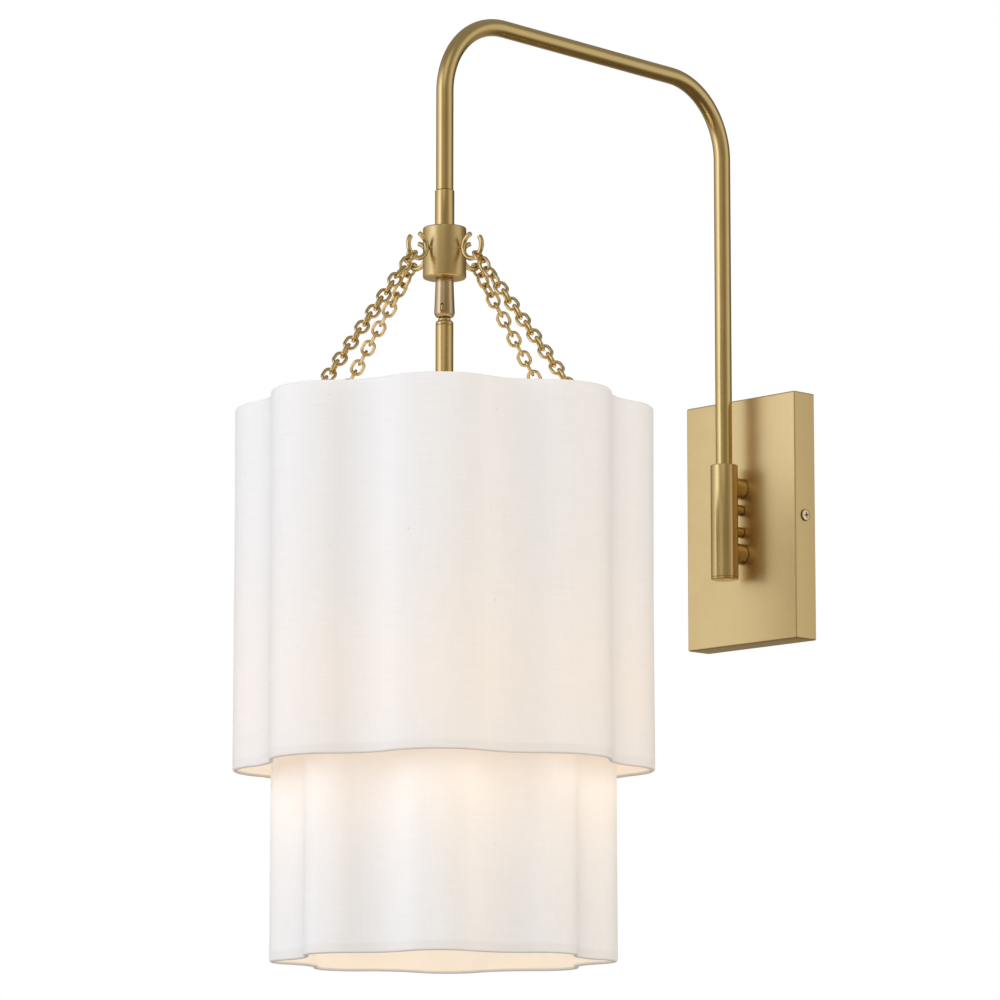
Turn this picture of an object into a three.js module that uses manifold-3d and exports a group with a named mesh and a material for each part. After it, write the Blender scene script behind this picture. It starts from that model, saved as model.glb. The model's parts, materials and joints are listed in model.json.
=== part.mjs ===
// Swing arm wall sconce with a two-tier scalloped fabric shade hung on four chains.
//
// Units are millimetres. The origin is the centre of the wall plane behind the back cover:
// +X is to the right for someone facing the wall, +Y goes into the wall and +Z is up.
// The four sides of the pendant are called front (away from the wall), right, back and left.

import * as THREE from 'three';
import { mergeVertices } from 'three/addons/utils/BufferGeometryUtils.js';
import Module from 'manifold-3d';

const wasm = await Module();
wasm.setup();

// ---------------------------------------------------------------- driving dimensions

const GAP = 0.3; // clearance between pieces that touch in the real sconce
const SLICE = 0.6; // how far a cutting tool runs past the face that it cuts

const COVER = { width: 114.3, height: 190.5, depth: 22, wall: 1.6, corner: 1.8, bevel: 1.4 };
const BRACKET = { thickness: 2, halfHeight: 15, earHeight: 16, earDepth: 18, slotSpacing: 82.6 };
const SIDE_SCREW_Y = -11;

const PIVOT_Y = -40; // axis of the barrel, in front of the wall
const REACH = 295; // from the barrel's axis to the pendant's axis
const BARREL = { radius: 10.5, bore: 8.3, bottom: -46.9, top: 41.8 };
const LARGE_POST = { radius: 8.2, height: 25.4 };
const SMALL_POST = { radius: 4.3, height: 8.6 };
const END_CAP_THICKNESS = 1.6;

const TUBE = { radius: 6.35, bore: 5.35, bottom: -38.5, top: 344, bend: 58, dropEnd: 211.8 };
const BAR_RISE = 1.6; // degrees by which the tube's top bar climbs on its way out

const HUB = { radius: 15.9, bottom: 145.9, top: 183.8, fillet: 1.2 };
const COUPLING_RADIUS = 7.1;
const NIPPLE = { radius: 4.8, bore: 3.2, bottom: 133, top: 226 };
const THREAD_BORE = 5.1;
const HOOK = { wire: 1.8, radius: 9.3, height: 166.5, gapStart: 40, gapEnd: 102, standoff: 1.2 };
const HOOK_DISTANCE = HUB.radius + HOOK.standoff + HOOK.wire + HOOK.radius;
const PENDANT_TURN = 2.3; // degrees by which the hub is screwed round past square

const SWIVEL_Z = 122.5; // centre of the hang-straight ball
const BALL_RADIUS = 5.4;
const CUP = { top: 145.6, bottom: 117, topRadius: 6.6, bottomRadius: 7.6, lip: 4.3 };
const PIN_AZIMUTH = -58; // degrees from the right towards the front, which is -90
const STEM = { radius: 6.5, bore: 5.5, top: 114.2, bottom: -46, neck: 3.1, collar: 4.6 };

const SOCKET = { radius: 17, bottom: -96, top: -57, shell: 14.2 };
const BULB = { radius: 30, length: 110, contact: -66 };

const LOBES = 8;
const OUTER = { crest: 152.4, valley: 136, fillet: 50, bottom: -215.8, top: 49.2 };
const INNER = { crest: 125, valley: 108.5, fillet: 45, bottom: -352.8, top: 42 };
const CLOTH = 1.6; // thickness of a lined fabric wall
const RING = 3; // thickness of the wire rings that hold the fabric
const STRUT_RADIUS = 1.5;
const STRUT_Z = INNER.top + GAP + STRUT_RADIUS;
const EYE = { distance: 130, radius: 4, wire: 1.2 };

const LINKS = 17;
const LINK = { wire: 1.2, halfWidth: 4 };
const LINK_OVERLAP = 0.6; // links are joined into one body here, so each bites into the next
const CHAIN_TWIST = 45; // degrees that a chain turns on its way down
const TWIST_LINKS = 5; // links that the turn takes

// ---------------------------------------------------------------- finishes

const finish = (color, roughness, metalness) =>
  new THREE.MeshStandardMaterial({ color, roughness, metalness });
const BRASS = finish(0xb3935a, 0.35, 1);
const BRIGHT_BRASS = finish(0xc9a866, 0.25, 1);
const STEEL = finish(0x9a9c9e, 0.4, 1);
const GREEN_SCREW = finish(0x3f7a4a, 0.5, 0.6);
const NYLON = finish(0xe6e2d6, 0.6, 0);
const PORCELAIN = finish(0xf0eee8, 0.3, 0);
const FABRIC = finish(0xf2ece2, 0.85, 0);
const WHITE_WIRE = finish(0xe9e5dc, 0.5, 0.2);
const FROSTED_GLASS = finish(0xfff4e0, 0.4, 0);

// ---------------------------------------------------------------- solids and booleans

/** The closed solid that a geometry bounds, its faces turned outwards. */
function solidOf(geometry) {
  const bare = new THREE.BufferGeometry();
  bare.setAttribute('position', geometry.getAttribute('position'));
  bare.setIndex(geometry.getIndex());
  const merged = mergeVertices(bare, 1e-3);
  const index = merged.getIndex();
  const corners = [];
  for (let i = 0; i < index.count; i += 3) {
    const [a, b, c] = [index.getX(i), index.getX(i + 1), index.getX(i + 2)];
    if (a !== b && b !== c && c !== a) corners.push([a, b, c]);
  }
  const build = (faces) => new wasm.Manifold(new wasm.Mesh({
    numProp: 3,
    vertProperties: new Float32Array(merged.getAttribute('position').array),
    triVerts: new Uint32Array(faces.flat()),
  }));
  const body = build(corners);
  return body.volume() > 0 ? body : build(corners.map(([a, b, c]) => [a, c, b]));
}

/** A named mesh of one solid or geometry. */
function piece(name, shape, material) {
  const body = shape.isBufferGeometry ? solidOf(shape) : shape;
  const { vertProperties, triVerts } = body.getMesh();
  const geometry = new THREE.BufferGeometry();
  geometry.setAttribute('position', new THREE.BufferAttribute(vertProperties, 3));
  geometry.setIndex(new THREE.BufferAttribute(triVerts, 1));
  geometry.computeVertexNormals();
  const mesh = new THREE.Mesh(geometry, material);
  mesh.name = name;
  return mesh;
}

const cut = (body, ...tools) => tools.reduce((left, tool) => left.subtract(solidOf(tool)), body);
const join = (...geometries) =>
  geometries.map(solidOf).reduce((whole, next) => whole.add(next));

// ---------------------------------------------------------------- basic shapes

/** A solid of revolution about Z, from [radius, z] pairs. */
function turned(profile, segments = 20) {
  const points = profile.map(([r, z]) => new THREE.Vector2(r, z));
  return new THREE.LatheGeometry(points, segments).rotateX(Math.PI / 2);
}

/** A tube about Z. */
function sleeve(outer, inner, bottom, top, segments = 20) {
  const profile = [[inner, bottom], [outer, bottom], [outer, top], [inner, top], [inner, bottom]];
  return turned(profile, segments);
}

/** A round bar about Z. */
function rod(radius, bottom, top, segments = 20) {
  return turned([[0, bottom], [radius, bottom], [radius, top], [0, top]], segments);
}

/** A round bar along X or Y, from one coordinate to the other. */
const rodAlongX = (radius, from, to, segments) =>
  rod(radius, from, to, segments).rotateY(Math.PI / 2);
const rodAlongY = (radius, from, to, segments) =>
  rod(radius, -to, -from, segments).rotateX(Math.PI / 2);

/** A box between two corners. */
function block([x0, y0, z0], [x1, y1, z1]) {
  const geometry = new THREE.BoxGeometry(x1 - x0, y1 - y0, z1 - z0);
  return geometry.translate((x0 + x1) / 2, (y0 + y1) / 2, (z0 + z1) / 2);
}

/**
 * A wire ring in the XY plane, stretched along X by twice `stretch`. `radius` is measured
 * to the middle of its flat ends and sides.
 */
function wireRing(radius, wire, sides, steps, stretch = 0) {
  const half = Math.PI / steps;
  const geometry = new THREE.TorusGeometry(radius / Math.cos(half), wire, sides, steps);
  geometry.rotateZ(half);
  const position = geometry.getAttribute('position');
  for (let i = 0; i < position.count; i++) {
    position.setX(i, position.getX(i) + Math.sign(position.getX(i)) * stretch);
  }
  return geometry;
}

/** A pan-head screw about Z: the head stands on z = 0 and the shank hangs below it. */
function screw(headRadius, headHeight, shankRadius, shankLength) {
  const body = solidOf(turned([
    [0, -shankLength],
    [shankRadius, -shankLength],
    [shankRadius, 0],
    [headRadius, 0],
    [headRadius, headHeight * 0.45],
    [headRadius * 0.7, headHeight],
    [0, headHeight],
  ], 12));
  const arm = headRadius * 0.48;
  const slot = headRadius * 0.13;
  const floor = headHeight * 0.4;
  const lid = headHeight + SLICE;
  return cut(body, block([-arm, -slot, floor], [arm, slot, lid]),
    block([-slot, -arm, floor], [slot, arm, lid]));
}

// ---------------------------------------------------------------- wall box

/** The open-backed box that hides the electrical box. */
function backCover() {
  const { width, height, depth, wall, corner, bevel } = COVER;
  const [halfWidth, halfHeight] = [width / 2 - bevel, height / 2 - bevel];
  const face = new THREE.Shape();
  face.moveTo(halfWidth, halfHeight - corner);
  face.absarc(halfWidth - corner, halfHeight - corner, corner, 0, Math.PI / 2);
  face.absarc(corner - halfWidth, halfHeight - corner, corner, Math.PI / 2, Math.PI);
  face.absarc(corner - halfWidth, corner - halfHeight, corner, Math.PI, Math.PI * 1.5);
  face.absarc(halfWidth - corner, corner - halfHeight, corner, Math.PI * 1.5, Math.PI * 2);
  const shell = new THREE.ExtrudeGeometry(face, {
    depth, bevelSize: bevel, bevelThickness: bevel, bevelSegments: 2, curveSegments: 2,
  });
  shell.rotateX(Math.PI / 2).translate(0, bevel, 0);
  const hollow = [width / 2 - wall, height / 2 - wall];
  const body = cut(
    solidOf(shell),
    block([-width, 0, -height], [width, bevel * 3, height]),
    block([-hollow[0], wall - depth, -hollow[1]], [hollow[0], SLICE, hollow[1]]),
  );
  const screwHole = rodAlongX(2.3, -width / 2 - SLICE, width / 2 + SLICE, 12);
  const postHole = (z) => rodAlongY(2.8, -depth - SLICE, wall - depth + SLICE, 12).translate(0, 0, z);
  return cut(body, screwHole.translate(0, SIDE_SCREW_Y, 0),
    postHole(LARGE_POST.height), postHole(-LARGE_POST.height));
}

/** The steel strap that screws to the electrical box; its ears take the side screws. */
function mountingBracket() {
  const { thickness, halfHeight, earHeight, earDepth, slotSpacing } = BRACKET;
  const reach = COVER.width / 2 - COVER.wall - 2 * GAP;
  const ear = (side) => block(
    [Math.min(side * reach, side * (reach - thickness)), -earDepth, -earHeight / 2],
    [Math.max(side * reach, side * (reach - thickness)), 0, earHeight / 2],
  );
  const slot = (x) => {
    const [halfLength, halfWidth] = [5, 2.5];
    const outline = new THREE.Shape();
    outline.absarc(halfLength, 0, halfWidth, -Math.PI / 2, Math.PI / 2);
    outline.absarc(-halfLength, 0, halfWidth, Math.PI / 2, Math.PI * 1.5);
    const tool = new THREE.ExtrudeGeometry(outline, {
      depth: thickness + 2 * SLICE, bevelEnabled: false, curveSegments: 3,
    });
    return tool.rotateX(Math.PI / 2).translate(x, SLICE, 0);
  };
  const strap = block([-reach, -thickness, -halfHeight], [reach, 0, halfHeight]);
  return cut(
    join(strap, ear(1), ear(-1)),
    slot(slotSpacing / 2),
    slot(-slotSpacing / 2),
    rodAlongX(2.2, -reach - SLICE, reach + SLICE, 12).translate(0, SIDE_SCREW_Y, 0),
    rodAlongY(2, -thickness - SLICE, SLICE, 12).translate(...groundScrewPlace()),
  );
}

const groundScrewPlace = () => [18, 0, -7];

function wallBox() {
  const group = new THREE.Group();
  group.add(piece('back_cover', backCover(), BRASS));
  group.add(piece('mounting_bracket', mountingBracket(), STEEL));

  const ground = piece('ground_screw', screw(4, 2.4, 1.6, 1.8), GREEN_SCREW);
  const [x, , z] = groundScrewPlace();
  ground.position.set(x, -BRACKET.thickness - GAP, z);
  ground.rotation.x = Math.PI / 2;
  group.add(ground);

  for (const [side, sign] of [['right', 1], ['left', -1]]) {
    const fixing = piece(`side_screw_${side}`, screw(4.6, 1.4, 1.8, 7), BRIGHT_BRASS);
    fixing.position.set(sign * (COVER.width / 2 + GAP), SIDE_SCREW_Y, 0);
    fixing.rotation.y = sign * Math.PI / 2;
    group.add(fixing);
  }

  for (const [level, sign] of [['upper', 1], ['lower', -1]]) {
    const fixing = piece(`post_screw_${level}`, screw(4.6, 2.6, 2.4, 10.8), STEEL);
    fixing.position.set(0, COVER.wall - COVER.depth + GAP, sign * LARGE_POST.height);
    fixing.rotation.x = -Math.PI / 2;
    group.add(fixing);
  }
  return group;
}

/** A horizontal post from the cover's face to the barrel, its end saddled to the barrel. */
function post(radius, bored) {
  const start = -COVER.depth - GAP;
  const body = solidOf(rodAlongY(radius, PIVOT_Y + BARREL.radius / 2, start, 16));
  const saddle = rod(BARREL.radius + GAP, -2 * radius, 2 * radius, 28).translate(0, PIVOT_Y, 0);
  const bore = rodAlongY(2.8, PIVOT_Y, 0, 12);
  return bored ? cut(body, saddle, bore) : cut(body, saddle);
}

function posts() {
  const group = new THREE.Group();
  for (const [level, sign] of [['upper', 1], ['lower', -1]]) {
    const large = piece(`large_post_${level}`, post(LARGE_POST.radius, true), BRASS);
    large.position.z = sign * LARGE_POST.height;
    const small = piece(`small_post_${level}`, post(SMALL_POST.radius, false), BRASS);
    small.position.z = sign * SMALL_POST.height;
    group.add(large, small);
  }
  return group;
}

// ---------------------------------------------------------------- pivot barrel

function pivotBarrel() {
  const { radius, bore, bottom, top } = BARREL;
  const foot = bottom + END_CAP_THICKNESS + GAP;
  const chamfer = 0.5;
  const body = solidOf(turned([
    [bore, foot],
    [radius, foot],
    [radius, top - chamfer],
    [radius - chamfer, top],
    [bore, top],
    [bore, foot],
  ], 28));
  const hole = (z) => rodAlongY(2.8, bore / 2, radius + SLICE, 12).translate(0, 0, z);
  return cut(body, hole(LARGE_POST.height), hole(-LARGE_POST.height));
}

function endCap() {
  const { radius, bottom } = BARREL;
  const chamfer = 0.5;
  return turned([
    [0, bottom],
    [radius - chamfer, bottom],
    [radius, bottom + chamfer],
    [radius, bottom + END_CAP_THICKNESS],
    [7.9, bottom + END_CAP_THICKNESS],
    [7.9, bottom + 5.4],
    [0, bottom + 5.4],
  ], 28);
}

/** The fixed barrel with its bushings; it stands on the pivot axis. */
function pivotHousing() {
  const group = new THREE.Group();
  const [seat, shaft] = [BARREL.bore - GAP, TUBE.radius + 0.4];
  group.add(piece('pivot_barrel', pivotBarrel(), BRASS));
  group.add(piece('barrel_end_cap', endCap(), BRASS));
  group.add(piece('upper_bushing', sleeve(seat, shaft, 29.5, BARREL.top), NYLON));
  group.add(piece('lower_bushing', sleeve(seat, shaft, -38, -26), NYLON));
  group.add(piece('friction_washer', sleeve(seat, shaft, -25.7, -24.8), NYLON));
  return group;
}

// ---------------------------------------------------------------- swing arm

/**
 * Centreline of the bent tube: up from the barrel, over, and down to the pendant.
 * Its parameter runs evenly over the stations, so that the straights take one step each
 * and the bends take the rest.
 */
class ArmCentreline extends THREE.Curve {
  constructor(stepsPerBend) {
    super();
    const { bottom, top, bend, dropEnd } = TUBE;
    const rise = THREE.MathUtils.degToRad(BAR_RISE);
    const corner = (y, z, from, to) => {
      const arc = [];
      for (let i = 0; i <= stepsPerBend; i++) {
        const angle = from + (to - from) * i / stepsPerBend;
        const [dy, dz] = [Math.cos(angle), Math.sin(angle)];
        arc.push({
          at: new THREE.Vector3(0, y + bend * dy, z + bend * dz),
          along: new THREE.Vector3(0, -dz, dy),
        });
      }
      return arc;
    };
    const [up, down] = [new THREE.Vector3(0, 0, 1), new THREE.Vector3(0, 0, -1)];
    const outerBend = top - bend;
    const innerBend = outerBend - (REACH - 2 * bend) * Math.tan(rise);
    this.stations = [
      { at: new THREE.Vector3(0, 0, bottom), along: up },
      ...corner(-bend, innerBend, 0, Math.PI / 2 - rise),
      ...corner(bend - REACH, outerBend, Math.PI / 2 - rise, Math.PI),
      { at: new THREE.Vector3(0, -REACH, dropEnd), along: down },
    ];
  }

  get steps() {
    return this.stations.length - 1;
  }

  getPointAt(u) {
    return this.stations[Math.round(u * this.steps)].at.clone();
  }

  getTangentAt(u) {
    return this.stations[Math.round(u * this.steps)].along.clone();
  }
}

function armTube() {
  const section = new THREE.Shape().absarc(0, 0, TUBE.radius, 0, Math.PI * 2);
  section.holes.push(new THREE.Path().absarc(0, 0, TUBE.bore, 0, Math.PI * 2));
  const path = new ArmCentreline(8);
  return new THREE.ExtrudeGeometry(section, {
    steps: path.steps, extrudePath: path, curveSegments: 8, bevelEnabled: false,
  });
}

/** The swinging tube and the collar that rides on the lower bushing; origin on the pivot axis. */
function swingArm() {
  const group = new THREE.Group();
  group.add(piece('arm_tube', armTube(), BRASS));
  const collar = sleeve(BARREL.bore - 0.5, TUBE.radius + GAP, -24.5, -17);
  group.add(piece('retaining_collar', collar, STEEL));
  return group;
}

// ---------------------------------------------------------------- pendant hardware

/** The four sides of the pendant, and the turn about Z that takes +X to each. */
const SIDES = [['front', -90], ['right', 0], ['back', 90], ['left', 180]].map(
  ([side, degrees]) => [side, THREE.MathUtils.degToRad(degrees + PENDANT_TURN)],
);

/** One piece per side, each made in a frame whose +X is that side's outward direction. */
function aroundPendant(name, make, material) {
  return SIDES.map(([side, turn]) => {
    const holder = new THREE.Group();
    holder.rotation.z = turn;
    holder.add(piece(`${name}_${side}`, make(), material));
    return holder;
  });
}

function armCoupling() {
  const [bottom, top, chamfer] = [HUB.top + GAP, TUBE.dropEnd - GAP, 0.6];
  return turned([
    [THREAD_BORE, bottom],
    [COUPLING_RADIUS, bottom],
    [COUPLING_RADIUS, top - chamfer],
    [COUPLING_RADIUS - chamfer, top],
    [THREAD_BORE, top],
    [THREAD_BORE, bottom],
  ]);
}

function chainHub() {
  const { radius, bottom, top, fillet } = HUB;
  const body = solidOf(turned([
    [THREAD_BORE, bottom],
    [radius - fillet, bottom],
    [radius, bottom + fillet],
    [radius, top - fillet],
    [radius - fillet, top],
    [THREAD_BORE, top],
    [THREAD_BORE, bottom],
  ], 28));
  const hole = (turn) =>
    rodAlongX(1.7, 11, radius + SLICE, 10).translate(0, 0, HOOK.height).rotateZ(turn);
  return cut(body, ...SIDES.map(([, turn]) => hole(turn)));
}

/** An open ring standing in a radial plane, on a shank that enters the hub. */
function hook() {
  const { wire, radius, height, gapStart, gapEnd } = HOOK;
  const centreline = new THREE.CurvePath();
  const arc = new THREE.EllipseCurve(
    0, 0, radius, radius,
    THREE.MathUtils.degToRad(gapEnd), THREE.MathUtils.degToRad(gapStart + 360),
  );
  const points = arc.getPoints(12).map(({ x, y }) => new THREE.Vector3(x, 0, y));
  for (let i = 1; i < points.length; i++) {
    centreline.add(new THREE.LineCurve3(points[i - 1], points[i]));
  }
  const ring = new THREE.ExtrudeGeometry(
    new THREE.Shape().absarc(0, 0, wire, 0, Math.PI * 2),
    { steps: points.length - 1, extrudePath: centreline, curveSegments: 3, bevelEnabled: false },
  );
  ring.translate(HOOK_DISTANCE, 0, height);
  const shank = rodAlongX(1.3, 11.5, HOOK_DISTANCE - radius, 8).translate(0, 0, height);
  return join(ring, shank);
}

/** The slotted cup that holds the hang-straight ball. */
function swivelCup() {
  const { top, bottom, topRadius, bottomRadius, lip } = CUP;
  const socket = BALL_RADIUS + GAP;
  const lipAngle = Math.acos(lip / socket);
  const hollow = [];
  for (let i = 0; i <= 4; i++) {
    const angle = lipAngle * i / 4;
    hollow.push([socket * Math.cos(angle), SWIVEL_Z - socket * Math.sin(angle)]);
  }
  const shoulder = SWIVEL_Z + socket + 2;
  const body = solidOf(turned([
    [lip, bottom],
    [bottomRadius - 2, bottom],
    [bottomRadius - 0.6, bottom + 0.8],
    [bottomRadius, bottom + 2.4],
    [topRadius, top],
    [THREAD_BORE, top],
    [THREAD_BORE, shoulder],
    ...hollow,
    [lip, bottom],
  ]));
  const slot = block([0, -1.1, SWIVEL_Z - 2.6], [bottomRadius + SLICE, 1.1, SWIVEL_Z + 3.4]);
  return cut(body, slot.rotateZ(THREE.MathUtils.degToRad(PIN_AZIMUTH)));
}

/** The ball, with the pin that runs in the cup's slot and stops the wires from twisting. */
function swivelBall() {
  const ball = new THREE.SphereGeometry(BALL_RADIUS, 16, 8).translate(0, 0, SWIVEL_Z);
  const pin = rodAlongX(0.8, 2, BALL_RADIUS + 1.6, 8).translate(0, 0, SWIVEL_Z);
  return join(ball, pin.rotateZ(THREE.MathUtils.degToRad(PIN_AZIMUTH)));
}

function pendantHardware() {
  const group = new THREE.Group();
  group.add(piece('arm_coupling', armCoupling(), BRASS));
  const nipple = sleeve(NIPPLE.radius, NIPPLE.bore, NIPPLE.bottom, NIPPLE.top, 16);
  group.add(piece('threaded_nipple', nipple, STEEL));
  group.add(piece('chain_hub', chainHub(), BRASS));
  group.add(...aroundPendant('hook', hook, BRIGHT_BRASS));
  group.add(piece('swivel_cup', swivelCup(), BRASS));
  group.add(piece('swivel_ball', swivelBall(), BRASS));
  return group;
}

// ---------------------------------------------------------------- stem, socket and bulb

/** Neck and shoulder between the ball and the stem tube. */
function stemNeck() {
  const { radius, top, neck, collar, bore } = STEM;
  const [round, foot] = [1.4, top - 6];
  const body = solidOf(turned([
    [0, foot],
    [bore - GAP, foot],
    [bore - GAP, top - 3],
    [radius, top - 3],
    [radius, top - round],
    [radius - 0.4, top - 0.4],
    [radius - round, top],
    [collar, top + 0.4],
    [collar, top + 1.6],
    [neck, top + 1.6],
    [neck, SWIVEL_Z],
    [0, SWIVEL_Z],
  ]));
  const ball = new THREE.SphereGeometry(BALL_RADIUS + GAP, 16, 8).translate(0, 0, SWIVEL_Z);
  return cut(body, ball);
}

/** The brass cap that closes the socket's top around the stem. */
function socketCap() {
  const { radius, top } = SOCKET;
  const [neck, neckTop] = [STEM.radius + GAP, STEM.bottom + 6];
  return turned([
    [neck, neckTop],
    [neck, STEM.bottom - 1],
    [radius - 0.4, top - 1],
    [radius + GAP, top - 5],
    [radius + 1.5, top - 5],
    [radius + 1.5, top - 1],
    [neck + 1.6, STEM.bottom + 0.5],
    [neck + 1.6, neckTop],
    [neck, neckTop],
  ]);
}

function socketBody() {
  const { radius, bottom, top, shell } = SOCKET;
  const roof = 3;
  return turned([
    [3, top - 1.6],
    [3, top - 1.6 - roof],
    [shell + GAP, top - 1.6 - roof],
    [shell + GAP, bottom],
    [radius, bottom],
    [radius, top - 5.4],
    [radius - 1.6, top - 1.6],
    [3, top - 1.6],
  ]);
}

function screwShell() {
  const { shell, bottom, top } = SOCKET;
  const roof = top - 5.2;
  const thickness = 0.4;
  return turned([
    [5, roof],
    [5, roof - thickness],
    [shell - thickness, roof - thickness],
    [shell - thickness, bottom + 3],
    [shell, bottom + 3],
    [shell, roof],
    [5, roof],
  ]);
}

function bulbBase() {
  const [radius, inner, bottom] = [13.1, 12.6, BULB.contact - 26];
  return turned([
    [3.5, BULB.contact - 0.4],
    [inner - 1, BULB.contact - 3.5],
    [inner, BULB.contact - 5],
    [inner, bottom],
    [radius, bottom],
    [radius, BULB.contact - 5],
    [radius - 1, BULB.contact - 3],
    [3.5, BULB.contact + 0.1],
    [3.5, BULB.contact - 0.4],
  ]);
}

/** The frosted envelope: a neck inside the base, swelling to a round end. */
function bulbGlass() {
  const { radius, length, contact } = BULB;
  const [neck, wall] = [12.2, 1];
  const start = contact - 22;
  const low = contact - length;
  const centre = low + radius;
  const outline = (skin) => {
    const points = [[neck - skin, start]];
    points.push([neck - skin, start - 8]);
    points.push([neck + 4 - skin, start - 22]);
    for (let i = 0; i <= 6; i++) {
      const angle = THREE.MathUtils.degToRad(28 - 118 * i / 6);
      const reach = radius - skin;
      points.push([i < 6 ? reach * Math.cos(angle) : 0, centre + reach * Math.sin(angle)]);
    }
    return points;
  };
  const outside = outline(0);
  const inside = outline(wall).reverse();
  return turned([...inside, ...outside], 16);
}

function stemAssembly() {
  const group = new THREE.Group();
  group.add(piece('stem_neck', stemNeck(), BRASS));
  const tube = sleeve(STEM.radius, STEM.bore, STEM.bottom, STEM.top - 3 - GAP);
  group.add(piece('stem_tube', tube, BRASS));
  group.add(piece('socket_cap', socketCap(), BRASS));
  group.add(piece('socket_body', socketBody(), PORCELAIN));
  group.add(piece('socket_screw_shell', screwShell(), BRIGHT_BRASS));
  group.add(piece('socket_contact', rod(2.6, BULB.contact + 2.2, SOCKET.top - 2.2, 12), BRIGHT_BRASS));
  group.add(piece('bulb_base', bulbBase(), STEEL));
  group.add(piece('bulb_contact', rod(3, BULB.contact - 2, BULB.contact + 1.8, 12), STEEL));
  group.add(piece('bulb_glass', bulbGlass(), FROSTED_GLASS));
  return group;
}

// ---------------------------------------------------------------- shade

/**
 * A scalloped outline: round lobes of equal radius joined by hollow fillets, each arc
 * tangent to the next. `inset` moves the whole outline inwards.
 */
function scallop({ crest, valley, fillet }, inset, makePath = () => new THREE.Shape()) {
  const half = Math.PI / LOBES;
  const hollow = valley + fillet; // distance of the fillets' centres from the axis
  const lobe = (crest ** 2 + hollow ** 2 - 2 * crest * hollow * Math.cos(half) - fillet ** 2)
    / (2 * (fillet + crest - hollow * Math.cos(half)));
  const centre = crest - lobe;
  // Seen from a lobe's centre, the next fillet's centre lies this far round from the crest.
  const sweep = Math.atan2(hollow * Math.sin(half), hollow * Math.cos(half) - centre);
  const outline = makePath();
  for (let i = 0; i < LOBES; i++) {
    const at = 2 * half * i;
    const dip = at + half;
    outline.absarc(centre * Math.cos(at), centre * Math.sin(at), lobe - inset,
      at - sweep, at + sweep);
    outline.absarc(hollow * Math.cos(dip), hollow * Math.sin(dip), fillet + inset,
      at + sweep + Math.PI, at + 2 * half - sweep + Math.PI, true);
  }
  return outline;
}

/** A scalloped band with a wall between two insets, from one height to another. */
function scallopedBand(tier, outerInset, innerInset, bottom, top) {
  const band = scallop(tier, outerInset);
  band.holes.push(scallop(tier, innerInset, () => new THREE.Path()));
  const geometry = new THREE.ExtrudeGeometry(band, {
    depth: top - bottom, curveSegments: 3, bevelEnabled: false,
  });
  return geometry.translate(0, 0, bottom);
}

/** A wire ring that lies inside a tier's wall, between two heights. */
const tierRing = (tier, bottom) =>
  scallopedBand(tier, CLOTH + GAP, CLOTH + GAP + RING, bottom, bottom + RING);

// The line of a chain, in its side's radial plane: from the hook's wire to the strut's eye.
const HOOK_ANGLE = THREE.MathUtils.degToRad(-55);
const CHAIN_TOP = new THREE.Vector3(
  HOOK_DISTANCE + HOOK.radius * Math.cos(HOOK_ANGLE), 0,
  HOOK.height + HOOK.radius * Math.sin(HOOK_ANGLE),
);
const CHAIN_FOOT = new THREE.Vector3(EYE.distance, 0, STRUT_Z);
const CHAIN_SPAN = CHAIN_TOP.distanceTo(CHAIN_FOOT);
const CHAIN_SLOPE = Math.atan2(CHAIN_TOP.z - CHAIN_FOOT.z, CHAIN_FOOT.x - CHAIN_TOP.x);
const CHAIN_START = -(HOOK.wire + 2 * LINK.wire + GAP);
const CHAIN_END = CHAIN_SPAN - 2 * EYE.radius + EYE.wire + 2 * LINK.wire + GAP;

/** Takes a geometry whose +X runs down the chain to its place in the radial plane. */
const alongChain = (geometry) =>
  geometry.rotateY(CHAIN_SLOPE).translate(CHAIN_TOP.x, CHAIN_TOP.y, CHAIN_TOP.z);

/** The turn of link i about the chain's own line: quarter turns, plus the chain's twist. */
function linkTurn(i) {
  const share = THREE.MathUtils.smoothstep(i, 0, TWIST_LINKS);
  return THREE.MathUtils.degToRad(90 * (i % 2) + CHAIN_TWIST * share);
}

/** One chain, its links joined into a single body. */
function chain() {
  const pitch = (CHAIN_END - CHAIN_START - 4 * LINK.wire) / LINKS;
  const length = pitch + 4 * LINK.wire - LINK_OVERLAP;
  const stretch = length / 2 - LINK.wire - LINK.halfWidth;
  const links = [];
  for (let i = 0; i < LINKS; i++) {
    const link = wireRing(LINK.halfWidth, LINK.wire, 4, 8, stretch);
    const centre = CHAIN_START + 2 * LINK.wire + pitch * (i + 0.5);
    links.push(alongChain(link.rotateX(linkTurn(i)).translate(centre, 0, 0)));
  }
  return join(...links);
}

/** A radial strut across both top rings, with the standing eye that takes a chain. */
function strut() {
  const bar = rodAlongX(STRUT_RADIUS, 118.5, OUTER.crest - CLOTH - 1.2, 8).translate(0, 0, STRUT_Z);
  const eye = wireRing(EYE.radius, EYE.wire, 4, 8).rotateX(linkTurn(LINKS - 1) + Math.PI / 2);
  return join(bar, alongChain(eye.translate(CHAIN_SPAN - EYE.radius, 0, 0)));
}

function shadeAssembly() {
  const group = new THREE.Group();
  const hem = 0.6; // the rings sit this far inside the fabric's edges
  const tiers = [['outer', OUTER], ['inner', INNER]];
  for (const [name, tier] of tiers) {
    const wall = scallopedBand(tier, 0, CLOTH, tier.bottom, tier.top);
    group.add(piece(`${name}_shade_fabric`, wall, FABRIC));
    group.add(piece(`${name}_top_ring`, tierRing(tier, tier.top - hem - RING), WHITE_WIRE));
    group.add(piece(`${name}_bottom_ring`, tierRing(tier, tier.bottom + hem), WHITE_WIRE));
  }
  group.add(...aroundPendant('strut', strut, WHITE_WIRE));
  return group;
}

// ---------------------------------------------------------------- assembly

const sconce = new THREE.Group();

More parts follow.
